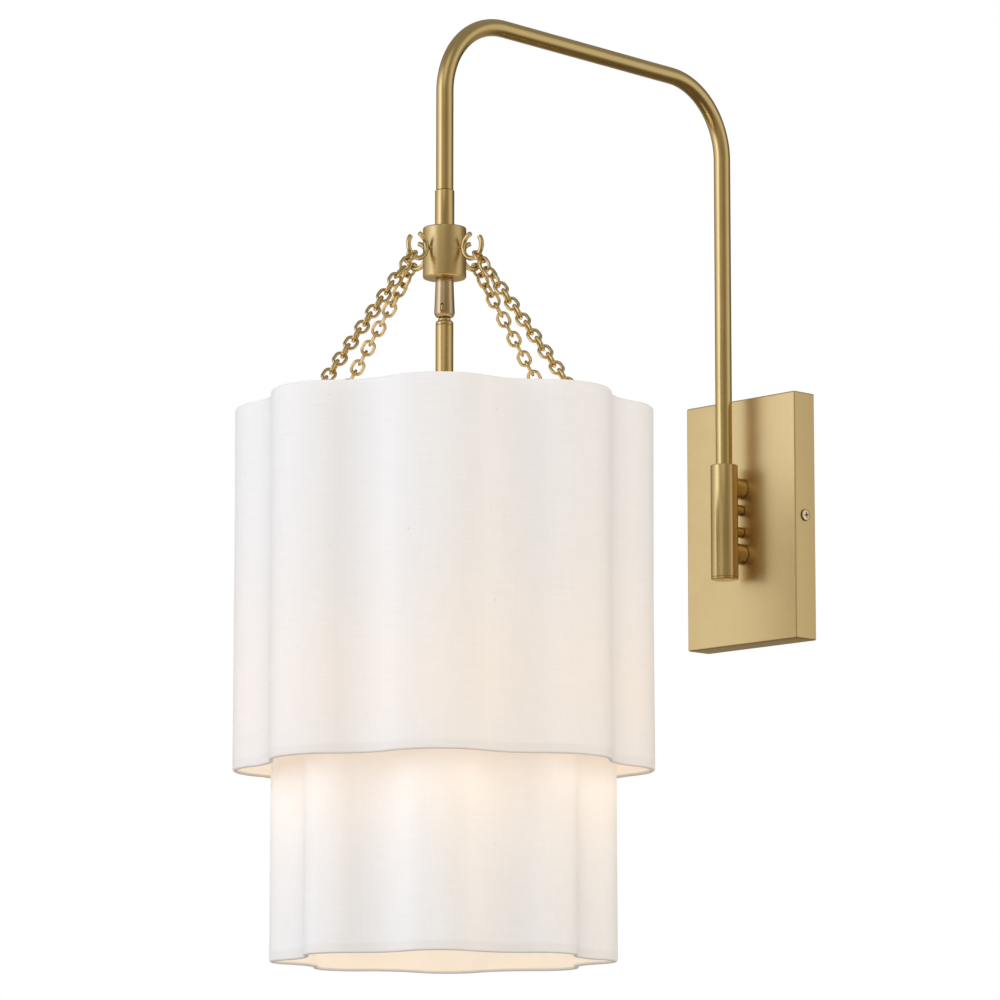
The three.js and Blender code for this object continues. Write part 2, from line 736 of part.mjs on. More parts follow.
const pivot = new THREE.Group();
pivot.position.y = PIVOT_Y;
pivot.add(pivotHousing(), swingArm());

const pendant = new THREE.Group();
pendant.position.y = PIVOT_Y - REACH;
pendant.add(pendantHardware(), stemAssembly(), shadeAssembly());
pendant.add(...aroundPendant('chain', chain, BRIGHT_BRASS));

sconce.add(wallBox(), posts(), pivot, pendant);

export default sconce;
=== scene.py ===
import json
import math

import bmesh
import bpy
from mathutils import Matrix, Vector


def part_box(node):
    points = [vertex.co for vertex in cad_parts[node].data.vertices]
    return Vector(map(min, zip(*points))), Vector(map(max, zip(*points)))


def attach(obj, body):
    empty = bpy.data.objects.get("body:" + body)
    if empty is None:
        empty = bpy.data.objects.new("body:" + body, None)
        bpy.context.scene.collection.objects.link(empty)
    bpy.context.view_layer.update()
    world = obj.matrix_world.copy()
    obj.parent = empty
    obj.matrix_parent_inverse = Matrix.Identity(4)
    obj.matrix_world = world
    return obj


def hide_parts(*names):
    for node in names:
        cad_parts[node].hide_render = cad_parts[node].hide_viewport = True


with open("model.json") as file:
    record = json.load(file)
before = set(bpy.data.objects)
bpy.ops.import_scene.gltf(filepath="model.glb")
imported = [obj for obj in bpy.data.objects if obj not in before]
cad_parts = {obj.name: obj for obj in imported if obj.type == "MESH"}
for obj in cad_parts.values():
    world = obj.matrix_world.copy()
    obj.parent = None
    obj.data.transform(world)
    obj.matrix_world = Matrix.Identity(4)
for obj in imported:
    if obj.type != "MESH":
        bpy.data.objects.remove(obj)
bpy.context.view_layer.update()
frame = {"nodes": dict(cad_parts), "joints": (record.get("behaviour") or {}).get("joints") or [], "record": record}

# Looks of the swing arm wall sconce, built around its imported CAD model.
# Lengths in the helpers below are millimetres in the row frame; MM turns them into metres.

MM = 0.001
ROUND = 72  # sides of a turned piece
SHARP = 35  # degrees between two faces from which their edge stays sharp
WALL, ARM, SWIVEL, STEM, SHADE = "wall_mount", "arm", "swivel", "stem", "shade"

# The upright lines that the arm turns on and the pendant hangs on, as (x, y), and the height
# of the ball that the stem tilts about.
HINGES = {joint["name"]: [value / MM for value in joint["pos_m"]] for joint in frame["joints"]}
PIVOT = HINGES["arm_swing"][:2]
*PENDANT, BALL_Z = HINGES["stem_tilt_in_out"]

PENDANT_TURN = 2.3  # degrees that the hooks, chains and struts are turned past square
SIDES = {side: turn + PENDANT_TURN  # turns about Z that take +X to each side
         for side, turn in (("front", -90), ("right", 0), ("back", 90), ("left", 180))}


def mm_box(node):
    """Lowest and highest corner of a CAD node, in millimetres."""
    low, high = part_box(node)
    return low / MM, high / MM


# ---------------------------------------------------------------- camera, lights and floor

CAMERA_PLACE = Vector((2.6592, -2.8416, -0.6038))
CAMERA_AZIMUTH = math.radians(46.057)
CAMERA_TILT = math.radians(9.11)
CAMERA_LENS, CAMERA_SENSOR, CAMERA_REACH = 183.6, 36, 50
FLOOR_Z, FLOOR_REACH = -1.45, 7
LIT_PLACE = Vector((0, -0.2, 0))  # what the softboxes face

# Each softbox: degrees from straight in front of the wall towards its right, degrees up,
# metres away, width and height in metres, watts, and colour.
SOFTBOXES = {
    "key": (-16, 14, 2.6, (1.2, 2.2), 19.2, (0.975, 0.99, 1.0)),
    "front": (50, 2, 2.8, (1.4, 2.0), 9.4, (1.0, 0.97, 0.945)),
    "fill": (107, 6, 2.8, (1.2, 2.2), 29, (1.0, 0.92, 0.865)),
    "top": (40, 70, 2.4, (1.4, 1.4), 9, (1, 1, 1)),
    "back": (225, 24, 2.8, (1.6, 2.0), 12, (1, 1, 1)),
}


def set_camera():
    data = bpy.data.cameras.new("camera")
    data.lens = CAMERA_LENS
    data.sensor_width = CAMERA_SENSOR
    data.clip_end = CAMERA_REACH
    camera = bpy.data.objects.new("camera", data)
    camera.location = CAMERA_PLACE
    camera.rotation_euler = (math.pi / 2 + CAMERA_TILT, 0, CAMERA_AZIMUTH)
    bpy.context.scene.collection.objects.link(camera)
    bpy.context.scene.camera = camera
    bpy.context.scene.view_settings.view_transform = "Standard"


def softbox(name, azimuth, elevation, distance, size, power, colour):
    """An area light for the cloth; metal mirrors the studio's panels instead."""
    light = bpy.data.lights.new(name, "AREA")
    light.shape = "RECTANGLE"
    light.size, light.size_y = size
    light.energy = power
    light.color = colour
    a, e = math.radians(azimuth), math.radians(elevation)
    away = Vector((math.sin(a) * math.cos(e), -math.cos(a) * math.cos(e), math.sin(e)))
    lamp = bpy.data.objects.new(name, light)
    lamp.location = LIT_PLACE + away * distance
    lamp.rotation_euler = away.to_track_quat("Z", "Y").to_euler()
    lamp.visible_camera = False
    lamp.visible_glossy = False
    bpy.context.scene.collection.objects.link(lamp)


def set_floor():
    mesh = bpy.data.meshes.new("floor")
    corners = [(x * FLOOR_REACH, y * FLOOR_REACH, FLOOR_Z)
               for x, y in ((-1, -1), (1, -1), (1, 1), (-1, 1))]
    mesh.from_pydata(corners, [], [(0, 1, 2, 3)])
    mesh.materials.append(floor_material())
    floor = bpy.data.objects.new("floor", mesh)
    floor.visible_glossy = False
    bpy.context.scene.collection.objects.link(floor)


def set_stage():
    set_camera()
    for name, settings in SOFTBOXES.items():
        softbox(name, *settings)
    bpy.context.scene.world = studio_world()
    set_floor()


# Brightness of the studio round the horizon: degrees from straight in front of the wall
# towards its right, and the level there.
PANELS = [(-180, 0.13), (-134, 0.11), (-104, 0.20), (-70, 0.66), (-46, 0.94), (-30, 1.50),
          (-14, 1.90), (-2, 1.24), (10, 0.54), (34, 0.37), (66, 0.30), (88, 0.44), (112, 0.82),
          (134, 0.84), (154, 0.32), (180, 0.13)]
BRIGHTEST = 2.4  # all the studio's colours are stored as shares of this
NEUTRAL = 0.9  # the level with no tint: darker ones are warm, and brighter ones cool
WARM_SHADE = (1.0, 0.80, 0.50)  # tint of the studio where it is dark
COOL_LAMP = (0.92, 0.98, 1.24)  # tint of its brightest panels
OVERHEAD, LOW_STRIP, GROUND = (0.34, 0.33, 0.31), (0.40, 0.35, 0.26), (0.16, 0.13, 0.09)
HIGH_PANEL = Vector((0.46, -0.65, 0.60)).normalized()  # the way to a soft panel high up
HIGH_TINT, HIGH_LEVEL = (1.0, 0.97, 0.92), 0.2


def studio_world():
    """A white backdrop for the camera, and a studio of soft panels for everything else."""
    world = bpy.data.worlds.new("studio")
    world.use_nodes = True
    world.node_tree.nodes.clear()
    g = Graph(world.node_tree)
    ray = g.node("ShaderNodeLightPath")
    way = g.node("ShaderNodeTexCoord").outputs["Generated"]
    split = g.node("ShaderNodeSeparateXYZ", Vector=way)
    ahead = g.math("MULTIPLY", split.outputs["Y"], -1.0)
    bearing = g.math("ARCTAN2", split.outputs["X"], ahead)
    stops = []
    for degrees, level in PANELS:
        lit = min(1.0, level / NEUTRAL)
        hot = max(0.0, min(1.0, (level - NEUTRAL) / NEUTRAL))
        colour = tuple(level / BRIGHTEST * (w + (1 - w) * lit) * (1 + (c - 1) * hot)
                       for w, c in zip(WARM_SHADE, COOL_LAMP))
        stops.append(((degrees + 180) / 360, colour))
    round_horizon = g.ramp(g.map_range(bearing, -math.pi, math.pi), stops)
    above = g.map_range(split.outputs["Z"], 0.30, 0.75, smooth=True)
    low = g.map_range(split.outputs["Z"], 0.02, -0.14, smooth=True)
    below = g.map_range(split.outputs["Z"], -0.20, -0.70, smooth=True)
    studio = g.mix(above, round_horizon, tuple(c / BRIGHTEST for c in OVERHEAD))
    studio = g.mix(low, studio, tuple(c / BRIGHTEST for c in LOW_STRIP), "LIGHTEN")
    studio = g.mix(below, studio, tuple(c / BRIGHTEST for c in GROUND))
    toward = g.node("ShaderNodeVectorMath")
    toward.operation = "DOT_PRODUCT"
    g.feed(toward.inputs[0], way)
    g.feed(toward.inputs[1], HIGH_PANEL)
    high = g.map_range(toward.outputs["Value"], 0.88, 1.0, 0.0, HIGH_LEVEL, smooth=True)
    studio = g.mix(high, studio, HIGH_TINT, "ADD")
    soft = g.node("ShaderNodeBackground", Color=studio, Strength=BRIGHTEST)
    plain = g.node("ShaderNodeBackground", Color=(1, 1, 1, 1), Strength=1.0)
    mix = g.node("ShaderNodeMixShader", Fac=ray.outputs["Is Camera Ray"])
    g.link(soft.outputs[0], mix.inputs[1])
    g.link(plain.outputs[0], mix.inputs[2])
    out = g.node("ShaderNodeOutputWorld")
    g.link(mix.outputs[0], out.inputs["Surface"])
    return world


# ---------------------------------------------------------------- material nodes

class Graph:
    """Short names for building a node tree."""

    def __init__(self, tree):
        self.tree = tree

    def link(self, source, target):
        self.tree.links.new(source, target)

    def feed(self, socket, value):
        """Sets an input from a socket, or to a plain value."""
        if isinstance(value, bpy.types.NodeSocket):
            self.link(value, socket)
        else:
            socket.default_value = value

    def fill(self, node, inputs):
        """Sets a node's inputs by name."""
        for name, value in inputs.items():
            self.feed(node.inputs[name], value)

    def node(self, kind, inputs=None, **values):
        made = self.tree.nodes.new(kind)
        self.fill(made, {**(inputs or {}), **values})
        return made

    def math(self, operation, a, b=0.0):
        made = self.tree.nodes.new("ShaderNodeMath")
        made.operation = operation
        self.feed(made.inputs[0], a)
        self.feed(made.inputs[1], b)
        return made.outputs[0]

    def map_range(self, value, low, high, to_low=0.0, to_high=1.0, smooth=False):
        made = self.node("ShaderNodeMapRange", {"Value": value, "From Min": low, "From Max": high,
                                                "To Min": to_low, "To Max": to_high})
        made.interpolation_type = "SMOOTHSTEP" if smooth else "LINEAR"
        return made.outputs["Result"]

    def ramp(self, value, stops):
        made = self.tree.nodes.new("ShaderNodeValToRGB")
        ramp = made.color_ramp
        while len(ramp.elements) < len(stops):
            ramp.elements.new(0.5)
        for element, (place, colour) in zip(ramp.elements, stops):
            element.position = place
            element.color = (*colour, 1)
        self.link(value, made.inputs["Fac"])
        return made.outputs["Color"]

    def mix(self, share, a, b, blend="MIX"):
        """Two colours mixed; each is a socket or a triple."""
        made = self.tree.nodes.new("ShaderNodeMix")
        made.data_type = "RGBA"
        made.blend_type = blend
        self.feed(made.inputs[0], share)
        for socket, colour in ((made.inputs[6], a), (made.inputs[7], b)):
            self.feed(socket, (*colour, 1) if isinstance(colour, tuple) else colour)
        return made.outputs[2]

    def place(self, stretch=(1, 1, 1)):
        """Object coordinates in millimetres, stretched."""
        where = self.tree.nodes.new("ShaderNodeTexCoord").outputs["Object"]
        scale = [s / MM for s in stretch]
        return self.node("ShaderNodeMapping", Vector=where, Scale=scale).outputs["Vector"]

    def noise(self, vector, scale, detail=2.0, rough=0.5):
        return self.node("ShaderNodeTexNoise", Vector=vector, Scale=scale, Detail=detail,
                         Roughness=rough).outputs["Fac"]

    def bump(self, height, distance, strength=1.0, normal=None):
        inputs = {"Height": height, "Distance": distance * MM, "Strength": strength}
        if normal is not None:
            inputs["Normal"] = normal
        return self.node("ShaderNodeBump", inputs).outputs["Normal"]


def new_material(name):
    """A material with its Graph and its Principled node."""
    material = bpy.data.materials.new(name)
    material.use_nodes = True
    tree = material.node_tree
    shader = next(n for n in tree.nodes if n.type == "BSDF_PRINCIPLED")
    return material, Graph(tree), shader


STREAK_SHARE = 0.22  # how much of a metal's tone comes from its streaks


def metal(name, dark, light, roughness, grain=(1, 1, 0.04), wear=0.3, metallic=1.0, brush=0.2):
    """
    Satin metal: fine streaks along one axis, a slow drift of tone like old lacquer, edges
    rubbed a little bright, and tarnish together with painted shade in the corners. `brush`
    is the depth of the streaks.
    """
    material, g, shader = new_material(name)
    streaks = g.noise(g.place(grain), 1.6, detail=3, rough=0.6)
    drift = g.noise(g.place(), 0.045, detail=3, rough=0.55)
    tone = g.math("ADD", g.math("MULTIPLY", streaks, STREAK_SHARE),
                  g.math("MULTIPLY", drift, 1 - STREAK_SHARE))
    colour = g.ramp(g.map_range(tone, 0.32, 0.68), [(0.0, dark), (1.0, light)])
    edge = g.node("ShaderNodeNewGeometry").outputs["Pointiness"]
    rubbed = g.map_range(edge, 0.54, 0.66, 0.0, wear, smooth=True)
    bright = tuple(min(1.0, c * 1.15 + 0.04) for c in light)
    colour = g.mix(rubbed, colour, bright)
    # Tarnish and painted shade: concave corners darkened towards a dim brass.
    tarnish_and_corner_shade = g.map_range(edge, 0.46, 0.36, 0.0, 0.6, smooth=True)
    colour = g.mix(tarnish_and_corner_shade, colour, tuple(c * 0.4 for c in dark))
    g.fill(shader, {
        "Base Color": colour,
        "Metallic": metallic,
        "Roughness": g.map_range(tone, 0.3, 0.7, roughness - 0.03, roughness + 0.03),
        "Normal": g.bump(streaks, 0.012, brush),
        "Coat Weight": 0.1,
        "Coat Roughness": 0.25,
    })
    return material


def moulded(name, colour, roughness, coat=0.0):
    """Nylon or glazed porcelain, with a faint mottle."""
    material, g, shader = new_material(name)
    mottle = g.noise(g.place(), 0.35, detail=4, rough=0.6)
    darker = tuple(c * 0.9 for c in colour)
    g.fill(shader, {
        "Base Color": g.ramp(g.map_range(mottle, 0.3, 0.7), [(0.0, darker), (1.0, colour)]),
        "Roughness": g.map_range(mottle, 0.3, 0.7, roughness - 0.05, roughness + 0.05),
        "Normal": g.bump(g.noise(g.place(), 1.8, detail=3), 0.03, 0.3),
        "Coat Weight": coat,
    })
    return material


HEM = 7  # height of the doubled cloth at a tier's two edges
GLOW_REACH = 80  # how far up or down the bulb's glow on the cloth has faded to a third


def cloth(name, foot, bulb, lit, dim=0.0, lining=False):
    """
    Slubbed silk, or the plain lining behind it, for a tier whose foot is at a height. The
    cloth's own coordinates are in the UV map "cloth": metres round the shade, and metres
    above its foot. The bulb shines through most strongly at the height `bulb`, where the
    cloth gives out `lit`, and the cloth farther off gives out the share `dim` of that.
    """
    material, g, shader = new_material(name)
    uv = g.tree.nodes.new("ShaderNodeUVMap")
    uv.uv_map = "cloth"

    def along(round_scale, up_scale):
        scale = (round_scale / MM, up_scale / MM, 1)
        return g.node("ShaderNodeMapping", Vector=uv.outputs["UV"], Scale=scale).outputs["Vector"]

    def thread(vector, direction):
        wave = g.node("ShaderNodeTexWave", {"Detail Scale": 0.6}, Vector=vector, Scale=0.9,
                      Distortion=1.6, Detail=2.0)
        wave.bands_direction = direction
        return wave.outputs["Fac"]

    weft, warp = thread(along(0.03, 1.0), "Y"), thread(along(1.0, 0.03), "X")
    weave = g.math("MAXIMUM", weft, g.math("MULTIPLY", warp, 0.8))
    slub_across = g.noise(along(0.035, 0.9), 1.0, detail=4, rough=0.62)
    slub_up = g.noise(along(0.75, 0.022), 1.0, detail=4, rough=0.62)
    slubs = g.math("ADD", g.math("MULTIPLY", slub_across, 0.6), g.math("MULTIPLY", slub_up, 0.4))
    fleck = g.map_range(g.noise(along(0.22, 0.14), 1.0, detail=2), 0.735, 0.765)

    where = g.node("ShaderNodeSeparateXYZ", Vector=g.place())
    rise = g.math("DIVIDE", g.math("SUBTRACT", where.outputs["Z"], bulb), GLOW_REACH)
    glow = g.math("POWER", math.e, g.math("MULTIPLY", g.math("MULTIPLY", rise, rise), -1.0))
    cloud = g.map_range(g.noise(g.place((1, 1, 0.6)), 0.013, detail=2), 0.3, 0.7, 0.75, 1.0)
    glow = g.math("MULTIPLY", glow, cloud)

    if lining:
        cool, warm = (0.86, 0.81, 0.74), (0.88, 0.80, 0.70)
    else:
        cool, warm = (0.87, 0.862, 0.852), (0.88, 0.825, 0.775)
    # Painted light: the base colour warms where the bulb's glow falls, besides the glow the cloth gives out.
    colour = g.mix(glow, cool, warm)
    # Painted shade: a greyer band over the doubled hem above the foot, where less light comes through.
    hem = g.map_range(where.outputs["Z"], foot + HEM + 1.2, foot + HEM - 1.2, smooth=True)
    colour = g.mix(g.math("MULTIPLY", hem, 0.3), colour, (0.76, 0.73, 0.68))
    # Painted shade: the underside at the foot darkened to a deep brown.
    painted_foot_shade = g.map_range(where.outputs["Z"], foot + 1.1, foot + 0.3)
    colour = g.mix(g.math("MULTIPLY", painted_foot_shade, 0.55), colour, (0.42, 0.37, 0.31))
    shade = g.map_range(slubs, 0.34, 0.66, 0.955, 1.0)
    grey = g.node("ShaderNodeCombineColor", Red=shade, Green=shade, Blue=shade).outputs[0]
    colour = g.mix(1.0, colour, grey, "MULTIPLY")
    colour = g.mix(g.math("MULTIPLY", fleck, 0.22), colour, (0.45, 0.38, 0.30))
    shining = (1.0, 0.90, 0.78) if lining else (1.0, 0.82, 0.64)
    g.fill(shader, {
        "Base Color": colour,
        "Roughness": g.map_range(slubs, 0.35, 0.65, 0.50, 0.62),
        "Normal": g.bump(slubs, 0.30, 0.5, g.bump(weave, 0.05, 0.35)),
        "Emission Color": g.mix(glow, tuple(c * dim for c in shining), shining),
        "Emission Strength": lit,
        "Specular IOR Level": 0.2,
        "Sheen Weight": 0.25,
        "Sheen Roughness": 0.4,
    })
    return material


def frosted_glass():
    """The lit bulb: brightest low on its globe, dimmer towards the cap."""
    cap_end = mm_box("bulb_glass")[1].z
    material, g, shader = new_material("frosted_glass")
    grain = g.noise(g.place(), 0.8, detail=4, rough=0.7)
    height = g.node("ShaderNodeSeparateXYZ", Vector=g.place()).outputs["Z"]
    heart = g.map_range(height, cap_end - 7, cap_end - 47, 0.25, 1.0, smooth=True)
    g.fill(shader, {
        "Base Color": g.ramp(grain, [(0.3, (0.92, 0.86, 0.76)), (0.7, (0.97, 0.93, 0.86))]),
        "Emission Color": g.mix(heart, (0.0, 0.0, 0.0), (1.0, 0.80, 0.56)),
        "Emission Strength": 3.0,
        "Roughness": 0.45,
    })
    return material


def floor_material():
    """A plain pale floor, which can be seen through from below."""
    material, g, shader = new_material("floor")
    tone = g.noise(g.place(), 0.004, detail=3)
    pale = g.ramp(tone, [(0.3, (0.90, 0.895, 0.885)), (0.7, (0.93, 0.925, 0.915))])
    g.fill(shader, {"Base Color": pale, "Roughness": 0.85})
    under = g.node("ShaderNodeNewGeometry").outputs["Backfacing"]
    mix = g.node("ShaderNodeMixShader", Fac=under)
    g.link(shader.outputs[0], mix.inputs[1])
    g.link(g.node("ShaderNodeBsdfTransparent").outputs[0], mix.inputs[2])
    out = next(n for n in g.tree.nodes if n.type == "OUTPUT_MATERIAL")
    g.link(mix.outputs[0], out.inputs["Surface"])
    return material


# ---------------------------------------------------------------- mesh helpers

def piece(name, parts, material, body, replaces, sharp=SHARP):
    """
    An object from parts, each a list of points in millimetres and a list of faces. It rides
    on a body and stands for the CAD nodes that it replaces.
    """
    points, faces = [], []
    for part_points, part_faces in parts:
        start = len(points)
        points += part_points
        faces += [tuple(start + i for i in face) for face in part_faces]
    mesh = bpy.data.meshes.new(name)
    mesh.from_pydata([Vector(p) * MM for p in points], [], faces)
    mesh.validate()
    mesh.materials.append(material)
    mesh.polygons.foreach_set("use_smooth", [True] * len(mesh.polygons))
    mesh.set_sharp_from_angle(angle=math.radians(sharp))
    made = bpy.data.objects.new(name, mesh)
    bpy.context.scene.collection.objects.link(made)
    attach(made, body)
    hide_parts(*replaces)
    return made


def eased(profile, radius=0.4, steps=3, closed=False):
    """A profile of (r, z) points with its corners rounded off; a corner may state its own radius."""
    given = [(p[0], p[1], p[2] if len(p) > 2 else radius) for p in profile]
    count = len(given)
    result = []
    for i, (r, z, ease) in enumerate(given):
        if not closed and i in (0, count - 1):
            result.append((r, z))
            continue
        here = Vector((r, z))
        before = Vector(given[i - 1][:2]) - here
        after = Vector(given[(i + 1) % count][:2]) - here
        reach = min(ease, before.length * 0.49, after.length * 0.49)
        if reach < 0.02 or before.angle(after, 0) > 3.1:
            result.append((r, z))
            continue
        start, end = here + before.normalized() * reach, here + after.normalized() * reach
        for k in range(steps + 1):
            t = k / steps
            spot = start * (1 - t) ** 2 + here * 2 * t * (1 - t) + end * t ** 2
            result.append((spot.x, spot.y))
    return result


def turned(profile, sides=ROUND, axis=(0, 0), closed=False):
    """A solid of revolution about the vertical through `axis`, from (r, z) points."""
    points, faces, rings = [], [], []
    for r, z in profile:
        if r < 1e-6:
            rings.append([len(points)])
            points.append((axis[0], axis[1], z))
            continue
        rings.append([len(points) + i for i in range(sides)])
        for i in range(sides):
            a = 2 * math.pi * i / sides
            points.append((axis[0] + r * math.cos(a), axis[1] + r * math.sin(a), z))
    pairs = list(zip(rings, rings[1:]))
    if closed:
        pairs.append((rings[-1], rings[0]))
    for low, high in pairs:
        for i in range(sides):
            j = (i + 1) % sides
            if len(low) > 1 and len(high) > 1:
                faces.append((low[i], low[j], high[j], high[i]))
            elif len(low) > 1:
                faces.append((low[i], low[j], high[0]))
            elif len(high) > 1:
                faces.append((low[0], high[j], high[i]))
    return points, faces


def lathed(node, made_by, profile, material, body, axis=PENDANT, sides=ROUND, closed=False):
    """A turned piece that stands for one CAD node, and whose name says how it is made."""
    return piece(f"{node}_{made_by}", [turned(profile, sides, axis, closed)], material, body,
                 [node])


def swept(path, radius, sides=16, closed=False):
    """A round bar along a path; `radius` is a number, or one for each point."""
    path = [Vector(p) for p in path]
    count = len(path)
    radii = radius if isinstance(radius, (list, tuple)) else [radius] * count
    tangents = []
    for i in range(count):
        ahead = path[(i + 1) % count] if closed or i < count - 1 else path[i]
        behind = path[i - 1] if closed or i > 0 else path[i]
        tangents.append((ahead - behind).normalized())
    side = tangents[0].orthogonal().normalized()
    sides_of = [side]
    for i in range(1, count):
        side = tangents[i - 1].rotation_difference(tangents[i]) @ side
        sides_of.append(side)
    points, faces = [], []
    for at, along, side, r in zip(path, tangents, sides_of, radii):
        across = along.cross(side)
        for k in range(sides):
            a = 2 * math.pi * k / sides
            points.append(at + (side * math.cos(a) + across * math.sin(a)) * r)
    steps = count if closed else count - 1
    # On a closed path the last ring meets the first at whichever side lies nearest.
    shift = 0
    if closed:
        first = points[0]
        last = points[(count - 1) * sides:]
        shift = min(range(sides), key=lambda k: (last[k] - first).length)
    for i in range(steps):
        a0, b0 = i * sides, ((i + 1) % count) * sides
        turn = shift if closed and i == count - 1 else 0
        for k in range(sides):
            k2 = (k + 1) % sides
            faces.append((a0 + (k + turn) % sides, a0 + (k2 + turn) % sides, b0 + k2, b0 + k))
    if not closed:
        faces.append(tuple(range(sides))[::-1])
        end = (count - 1) * sides
        faces.append(tuple(end + k for k in range(sides)))
    return points, faces


def dome_ended(path, radius):
    """A path and its radii with both ends rounded like a drawn rod's."""
    steps = 4
    path = [Vector(p) for p in path]
    start_way = (path[0] - path[1]).normalized()
    end_way = (path[-1] - path[-2]).normalized()
    points, radii = [], []
    for k in range(steps):
        a = math.pi / 2 * k / steps
        points.append(path[0] + start_way * radius * 0.6 * math.cos(a))
        radii.append(max(0.04, radius * math.sin(a)))
    points += path
    radii += [radius] * len(path)
    for k in reversed(range(steps)):
        a = math.pi / 2 * k / steps
        points.append(path[-1] + end_way * radius * 0.6 * math.cos(a))
        radii.append(max(0.04, radius * math.sin(a)))
    return points, radii


def rotated(part, turn):
    """A part turned by a matrix or quaternion."""
    points, faces = part
    return [turn @ Vector(p) for p in points], faces


def moved(part, offset):
    """A part shifted by an offset."""
    points, faces = part
    return [Vector(p) + Vector(offset) for p in points], faces


def on_pendant(part, turn):
    """A part turned about Z and shifted from the origin to the pendant's line."""
    return moved(rotated(part, Matrix.Rotation(turn, 3, "Z")), (*PENDANT, 0))


def boolean_cut(target, part):
    """Cuts a closed part, in millimetres, out of a finished object."""
    points, faces = part
    mesh = bpy.data.meshes.new("cutter")
    mesh.from_pydata([Vector(p) * MM for p in points], [], faces)
    cutter = bpy.data.objects.new("cutter", mesh)
    bpy.context.scene.collection.objects.link(cutter)
    change = target.modifiers.new("cut", "BOOLEAN")
    change.operation, change.solver, change.object = "DIFFERENCE", "EXACT", cutter
    graph = bpy.context.evaluated_depsgraph_get()
    result = bpy.data.meshes.new_from_object(target.evaluated_get(graph))
    target.modifiers.clear()
    target.data = result
    bpy.data.objects.remove(cutter)
    result.set_sharp_from_angle(angle=math.radians(SHARP))


def block(low, high):
    """A box between two corners."""
    (x0, y0, z0), (x1, y1, z1) = low, high
    points = [(x0, y0, z0), (x1, y0, z0), (x1, y1, z0), (x0, y1, z0),
              (x0, y0, z1), (x1, y0, z1), (x1, y1, z1), (x0, y1, z1)]
    faces = [(3, 2, 1, 0), (4, 5, 6, 7), (0, 1, 5, 4), (1, 2, 6, 5), (2, 3, 7, 6), (3, 0, 4, 7)]
    return points, faces


# ---------------------------------------------------------------- finishes

OLD_BRASS = metal("aged_brass", (0.61, 0.45, 0.185), (0.66, 0.49, 0.21), 0.2,
                  grain=(0.25, 0.25, 0.02), brush=0.03)
PLATE_BRASS = metal("plate_brass", (0.71, 0.535, 0.255), (0.77, 0.585, 0.285), 0.4,
                    grain=(1, 1, 0.02), wear=0.1, brush=0.1)
ARM_BRASS = metal("arm_brass", (0.61, 0.45, 0.185), (0.66, 0.49, 0.21), 0.19,
                  grain=(0.2, 0.2, 0.2), brush=0.02)
CUP_BRASS = metal("cup_brass", (0.52, 0.39, 0.22), (0.60, 0.46, 0.27), 0.19,
                  grain=(0.25, 0.25, 0.02), brush=0.03)
BRIGHT_BRASS = metal("polished_brass", (0.60, 0.45, 0.18), (0.76, 0.58, 0.28), 0.13,
                     grain=(0.2, 0.2, 0.2), brush=0.02, wear=0.3)
HUB_BRASS = metal("hub_brass", (0.63, 0.47, 0.205), (0.68, 0.51, 0.235), 0.34,
                  grain=(0.25, 0.25, 0.02), brush=0.03)
SCREW_BRASS = metal("screw_brass", (0.74, 0.60, 0.36), (0.86, 0.71, 0.46), 0.18)
# Painted shade: a near-black brass put in recesses where shadow falls.
RECESS_SHADE_BRASS = metal("shadowed_brass", (0.10, 0.07, 0.03), (0.17, 0.12, 0.05), 0.4)
ZINC = metal("zinc_steel", (0.42, 0.43, 0.44), (0.60, 0.61, 0.62), 0.38, grain=(0.05, 1, 1))
GREEN = metal("green_steel", (0.05, 0.18, 0.07), (0.08, 0.26, 0.11), 0.4, grain=(1, 1, 1),
              metallic=0.6)
SHEET_METAL = metal("bulb_cap", (0.58, 0.57, 0.55), (0.74, 0.73, 0.71), 0.28, grain=(1, 1, 6))
PAINTED_WIRE = moulded("shade_wire", (0.80, 0.77, 0.70), 0.45)
NYLON = moulded("nylon", (0.80, 0.78, 0.70), 0.5)
PORCELAIN = moulded("porcelain", (0.86, 0.85, 0.82), 0.25, coat=0.6)
GLASS = frosted_glass()
OUTER_FOOT, INNER_FOOT = (mm_box(f"{tier}_shade_fabric")[0].z for tier in ("outer", "inner"))
SILK = {
    "outer": cloth("outer_silk", OUTER_FOOT, bulb=-160, lit=0.05),
    "inner": cloth("inner_silk", INNER_FOOT, bulb=-205, lit=0.20),
}
LINING = {
    "outer": cloth("outer_lining", OUTER_FOOT, bulb=-190, lit=0.34, dim=0.4, lining=True),
    "inner": cloth("inner_lining", INNER_FOOT, bulb=-190, lit=0.26, dim=0.75, lining=True),
}

# ---------------------------------------------------------------- wall box

BOX_LOW, BOX_HIGH = mm_box("back_cover")
SHEET = 1.6  # thickness of the metal that it is folded from


